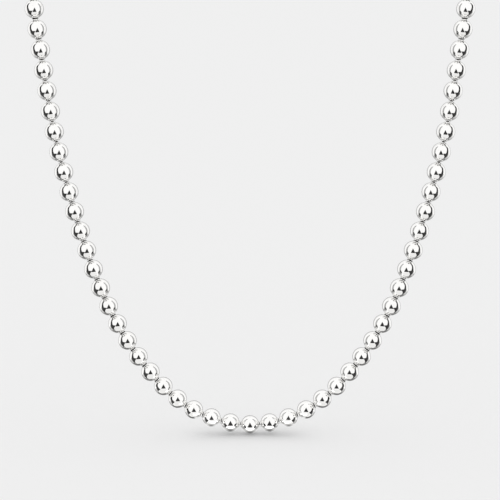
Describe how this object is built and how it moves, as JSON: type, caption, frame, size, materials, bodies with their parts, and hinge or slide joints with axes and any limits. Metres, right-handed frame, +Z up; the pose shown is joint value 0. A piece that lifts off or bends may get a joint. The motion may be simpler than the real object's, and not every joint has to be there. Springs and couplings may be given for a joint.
{
  "type": "ball chain necklace",
  "caption": "Polished silver ball chain necklace, a closed loop of hollow balls on dumbbell links with a barrel clasp at the nape, in the form it hangs in.",
  "frame": {"origin": "middle of the clasp at the nape, where the back of the neck carries the chain", "axes": "+Z up along the hanging front, -Y towards the viewer and the front of the neck, +X to the viewer's right"},
  "size_m": [0.1188, 0.0585, 0.1508],
  "materials": {
    "ball_silver": "silver polished to a mirror",
    "link_silver": "drawn silver wire, bright, a little darker in the gaps",
    "clasp_silver": "silver polished to a mirror"
  },
  "bodies": {
    "root": {"balls": "ball_silver", "links": "link_silver", "clasp": "clasp_silver"}
  },
  "joints": []
}
